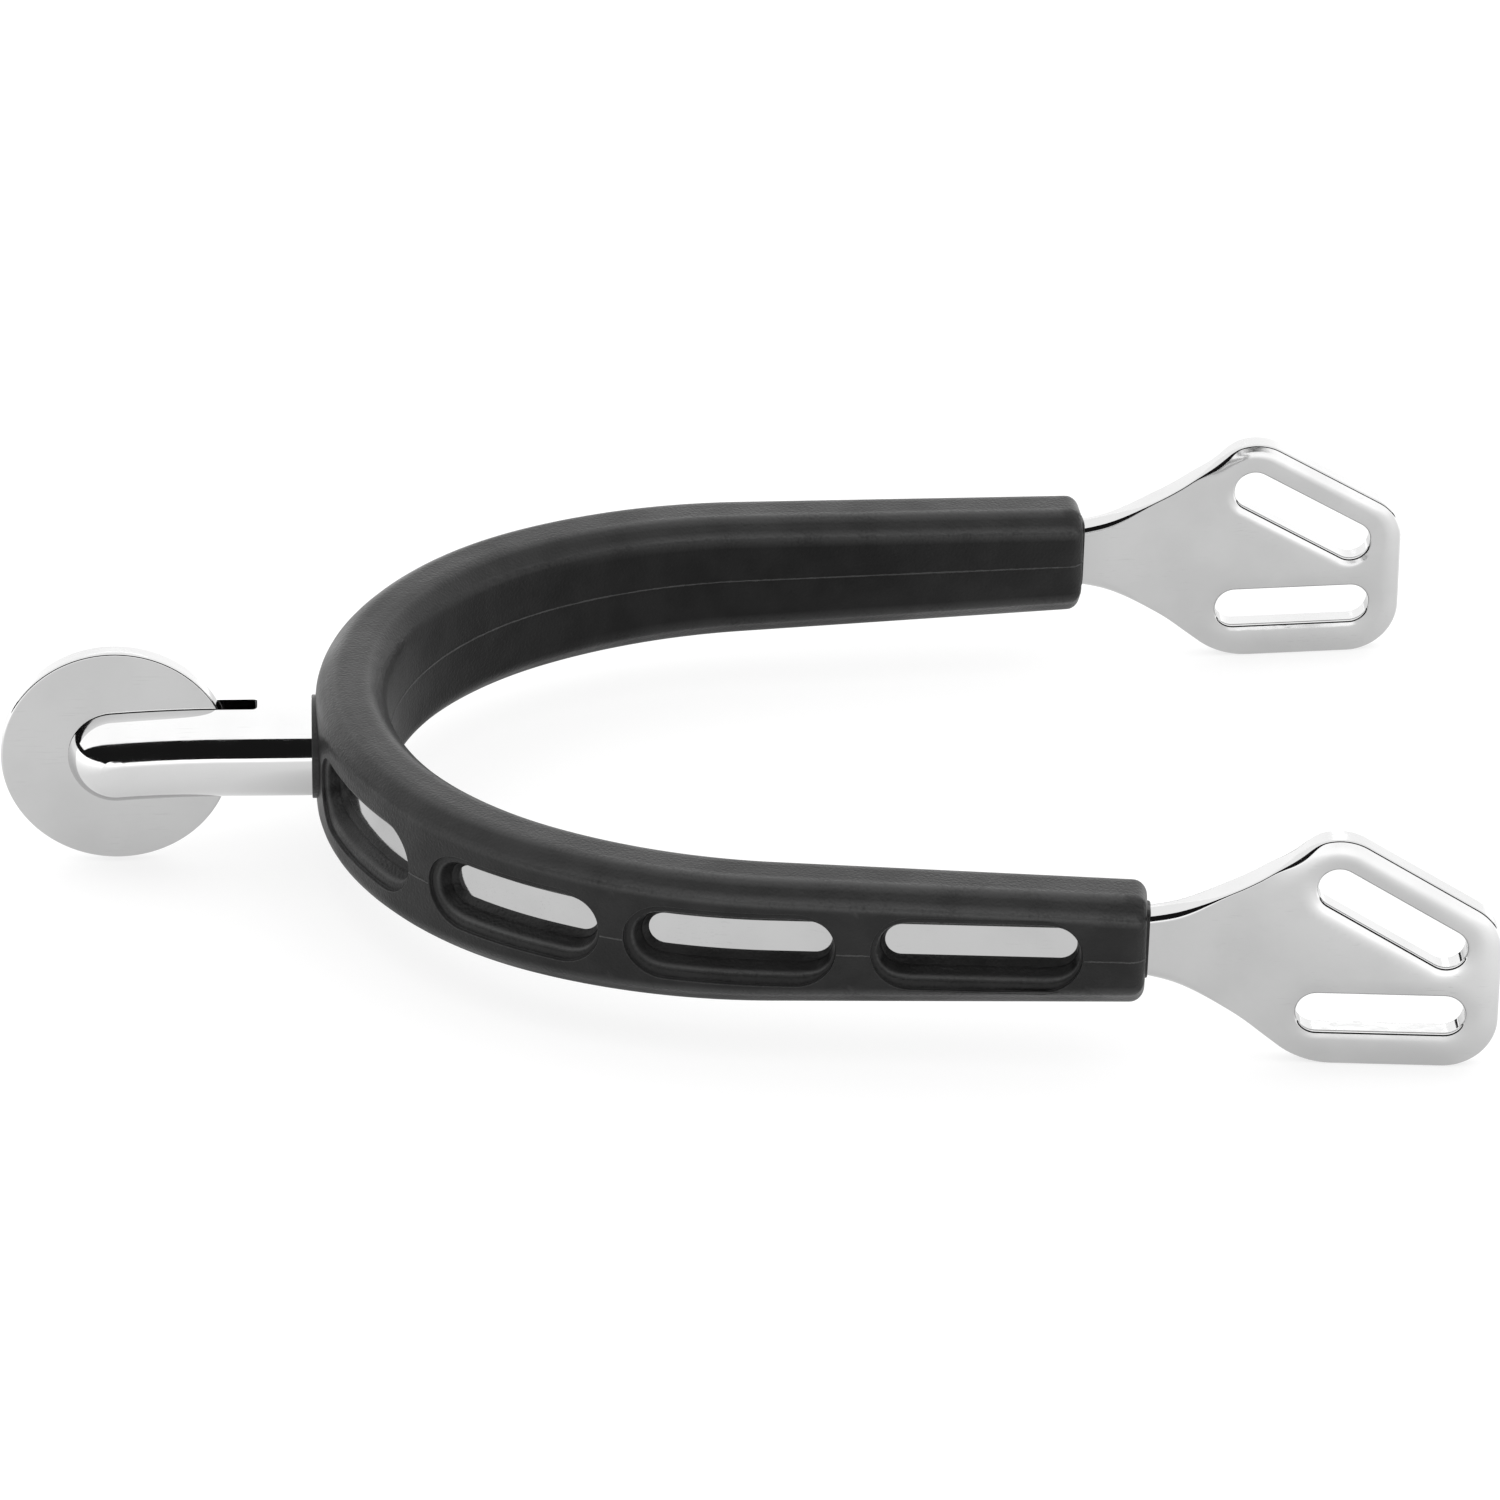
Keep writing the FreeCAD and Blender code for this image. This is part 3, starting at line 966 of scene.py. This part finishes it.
def noiseNode(tree, place, scale, detail=2.0, stretch=None):
    node = tree.nodes.new("ShaderNodeTexNoise")
    node.inputs["Detail"].default_value = detail
    if stretch:
        turn = tree.nodes.new("ShaderNodeMapping")
        turn.inputs["Scale"].default_value = stretch[0]
        turn.inputs["Rotation"].default_value = stretch[1]
        tree.links.new(place, turn.inputs["Vector"])
        place = turn.outputs["Vector"]
    tree.links.new(place, node.inputs["Vector"])
    if isinstance(scale, (int, float)):
        node.inputs["Scale"].default_value = scale
    else:
        tree.links.new(scale, node.inputs["Scale"])
    return node.outputs["Fac"]


def rangeNode(tree, value, low, high, newLow=0.0, newHigh=1.0):
    node = tree.nodes.new("ShaderNodeMapRange")
    node.interpolation_type = "SMOOTHSTEP"
    for label, number in (("From Min", low), ("From Max", high), ("To Min", newLow), ("To Max", newHigh)):
        if isinstance(number, (int, float)):
            node.inputs[label].default_value = number
        else:
            tree.links.new(number, node.inputs[label])
    tree.links.new(value, node.inputs["Value"])
    return node.outputs["Result"]


# grain: a moulded pebble of bumps, with a coarser unevenness under it
grainGroup, start, end, place = newGroup(
    "mouldedGrain", {"Grain Size": 0.0003, "Coarse Size": 0.004}, ("Height", "Mottle"))
fineScale = mathNode(grainGroup, "DIVIDE", 1.0, start.outputs["Grain Size"])
coarseScale = mathNode(grainGroup, "DIVIDE", 1.0, start.outputs["Coarse Size"])
pebbles = grainGroup.nodes.new("ShaderNodeTexVoronoi")
pebbles.feature = "SMOOTH_F1"
pebbles.inputs["Smoothness"].default_value = 0.6
grainGroup.links.new(place, pebbles.inputs["Vector"])
grainGroup.links.new(fineScale, pebbles.inputs["Scale"])
soft = noiseNode(grainGroup, place, fineScale, 3.0)
coarse = noiseNode(grainGroup, place, coarseScale, 3.0)
height = mathNode(grainGroup, "MULTIPLY", pebbles.outputs["Distance"], -0.55)
height = mathNode(grainGroup, "ADD", height, soft)
height = mathNode(grainGroup, "ADD", height, mathNode(grainGroup, "MULTIPLY", coarse, 1.4))
grainGroup.links.new(height, end.inputs["Height"])
grainGroup.links.new(rangeNode(grainGroup, coarse, 0.32, 0.68), end.inputs["Mottle"])

# wear: hairline scratches in three directions, and cloudy smudges
wearGroup, start, end, place = newGroup(
    "handlingWear", {"Scratch Density": 0.3, "Smudge Size": 0.01}, ("Scratches", "Smudges"))
scratches = None
for seed, turn in enumerate(((0.2, 0.5, 0.1), (0.1, -0.9, 0.4), (1.2, 0.1, -0.5))):
    lines = noiseNode(wearGroup, place, 220 + 60 * seed, 1.0, ((1.0, 24.0, 24.0), turn))
    patches = noiseNode(wearGroup, place, 160 + 45 * seed, 1.0)
    thin = rangeNode(wearGroup, lines, 0.665, 0.70)
    lowest = mathNode(wearGroup, "SUBTRACT", 0.75, start.outputs["Scratch Density"])
    patch = rangeNode(wearGroup, patches, lowest, 0.8)
    line = mathNode(wearGroup, "MULTIPLY", thin, patch)
    scratches = line if scratches is None else mathNode(wearGroup, "MAXIMUM", scratches, line)
smudgeScale = mathNode(wearGroup, "DIVIDE", 1.0, start.outputs["Smudge Size"])
smudges = rangeNode(wearGroup, noiseNode(wearGroup, place, smudgeScale, 4.0), 0.35, 0.7)
wearGroup.links.new(scratches, end.inputs["Scratches"])
wearGroup.links.new(smudges, end.inputs["Smudges"])


def placeGroup(tree, group, values):
    node = tree.nodes.new("ShaderNodeGroup")
    node.node_tree = group
    for label, value in values.items():
        node.inputs[label].default_value = value
    return node.outputs


def newMaterial(name, look):
    material = bpy.data.materials.new(name)
    material.use_nodes = True
    tree = material.node_tree
    shader = tree.nodes["Principled BSDF"]
    shader.inputs["Metallic"].default_value = look.get("metallic", 0)
    shader.inputs["IOR"].default_value = look.get("ior", 1.5)
    shader.inputs["Specular IOR Level"].default_value = look.get("specular", 0.5)
    return material, tree, shader


def mixColours(tree, share, first, second):
    node = tree.nodes.new("ShaderNodeMix")
    node.data_type = "RGBA"
    for socket, colour in ((node.inputs[6], first), (node.inputs[7], second)):
        if isinstance(colour, (int, float)):
            socket.default_value = (colour, colour, colour, 1)
        else:
            tree.links.new(colour, socket)
    tree.links.new(share, node.inputs[0])
    return node.outputs[2]


def addBump(tree, shader, height, distance, strength=1.0):
    bump = tree.nodes.new("ShaderNodeBump")
    bump.inputs["Distance"].default_value = distance
    bump.inputs["Strength"].default_value = strength
    tree.links.new(height, bump.inputs["Height"])
    tree.links.new(bump.outputs["Normal"], shader.inputs["Normal"])


rubberLook = {
    "ior": 1.8,
    "specular": 0.12,
    "dark": 0.0085,
    "worn": 0.016,
    "scuffed": 0.03,
    # edge: colour of the painted highlight on the cover's edges, window lip and bead, flash and collar
    "edge": 0.065,
    "glossyRough": 0.36,
    "dullRough": 0.46,
    "edgeRough": 0.3,
    "grainSize": 0.0003,
    "coarseSize": 0.0045,
    "grainHeight": 0.00006,
}


def makeRubber(look):
    material, tree, shader = newMaterial("blackRubber", look)
    grain = placeGroup(tree, grainGroup, {"Grain Size": look["grainSize"], "Coarse Size": look["coarseSize"]})
    wear = placeGroup(tree, wearGroup, {"Scratch Density": 0.16, "Smudge Size": 0.012})
    colour = mixColours(tree, grain["Mottle"], look["dark"], look["worn"])
    scuffs = mathNode(tree, "MULTIPLY", wear["Scratches"], 0.35)
    colour = mixColours(tree, scuffs, colour, look["scuffed"])
    # painted highlight: the marked points get a lighter colour, broken up by the grain, and a lower roughness
    highlightShare = tree.nodes.new("ShaderNodeAttribute")
    highlightShare.attribute_name = "paintedHighlight"
    broken = rangeNode(tree, grain["Height"], 0.2, 1.1, 0.45, 1.0)
    edges = mathNode(tree, "MULTIPLY", highlightShare.outputs["Fac"], broken)
    colour = mixColours(tree, edges, colour, look["edge"])
    tree.links.new(colour, shader.inputs["Base Color"])
    rough = rangeNode(tree, wear["Smudges"], 0, 1, look["glossyRough"], look["dullRough"])
    polished = mathNode(tree, "MULTIPLY", edges, look["edgeRough"] - look["glossyRough"])
    rough = mathNode(tree, "ADD", rough, polished)
    tree.links.new(rough, shader.inputs["Roughness"])
    addBump(tree, shader, grain["Height"], look["grainHeight"], 0.8)
    return material


steelLooks = {
    "castSteel": {"metallic": 1, "bright": 0.54, "dull": 0.505, "polish": 0.05, "hazy": 0.11,
                  "waveSize": 0.0045, "waveHeight": 0.0000035, "scratch": 0.22},
    "neckSteel": {"metallic": 1, "bright": 0.66, "dull": 0.63, "polish": 0.04, "hazy": 0.09,
                  "waveSize": 0.006, "waveHeight": 0.000002, "scratch": 0.2},
    "discSteel": {"metallic": 1, "bright": 0.55, "dull": 0.52, "polish": 0.06, "hazy": 0.13,
                  "waveSize": 0.005, "waveHeight": 0.0000015, "scratch": 0.26},
}


def makeSteel(name, look, turnedAbout=None):
    material, tree, shader = newMaterial(name, look)
    grain = placeGroup(tree, grainGroup, {"Grain Size": look["waveSize"] / 4,
                                          "Coarse Size": look["waveSize"]})
    wear = placeGroup(tree, wearGroup, {"Scratch Density": look["scratch"], "Smudge Size": 0.009})
    colour = mixColours(tree, wear["Smudges"], look["bright"], look["dull"])
    colour = mixColours(tree, mathNode(tree, "MULTIPLY", wear["Scratches"], 0.5), colour, look["dull"] * 0.85)
    tree.links.new(colour, shader.inputs["Base Color"])
    haze = rangeNode(tree, wear["Smudges"], 0, 1, look["polish"], look["hazy"])
    rough = mathNode(tree, "ADD", haze, mathNode(tree, "MULTIPLY", wear["Scratches"], 0.12))
    tree.links.new(rough, shader.inputs["Roughness"])
    height = grain["Height"]
    if turnedAbout:
        # faint rings from facing the disc on a lathe
        place = tree.nodes.new("ShaderNodeTexCoord")
        away = tree.nodes.new("ShaderNodeVectorMath")
        away.operation = "SUBTRACT"
        away.inputs[1].default_value = turnedAbout
        flat = tree.nodes.new("ShaderNodeVectorMath")
        flat.operation = "MULTIPLY"
        flat.inputs[1].default_value = (1, 0, 1)
        reach = tree.nodes.new("ShaderNodeVectorMath")
        reach.operation = "LENGTH"
        tree.links.new(place.outputs["Object"], away.inputs[0])
        tree.links.new(away.outputs[0], flat.inputs[0])
        tree.links.new(flat.outputs[0], reach.inputs[0])
        rings = tree.nodes.new("ShaderNodeTexNoise")
        rings.noise_dimensions = "1D"
        rings.inputs["Scale"].default_value = 9000
        tree.links.new(reach.outputs["Value"], rings.inputs["W"])
        height = mathNode(tree, "ADD", height, mathNode(tree, "MULTIPLY", rings.outputs["Fac"], 0.25))
    addBump(tree, shader, height, look["waveHeight"])
    return material


grip.data.materials.append(makeRubber(rubberLook))
band.data.materials.append(makeSteel("castSteel", steelLooks["castSteel"]))
low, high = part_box("rowel_disc")
disc.data.materials.append(makeSteel("discSteel", steelLooks["discSteel"], (low + high) / 2))
neckSteel = makeSteel("neckSteel", steelLooks["neckSteel"])
for name in ("neck", "rowel_pin"):        # the pin is dressed and polished with the neck
    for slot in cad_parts[name].material_slots:
        slot.material = neckSteel
print("materials ready")
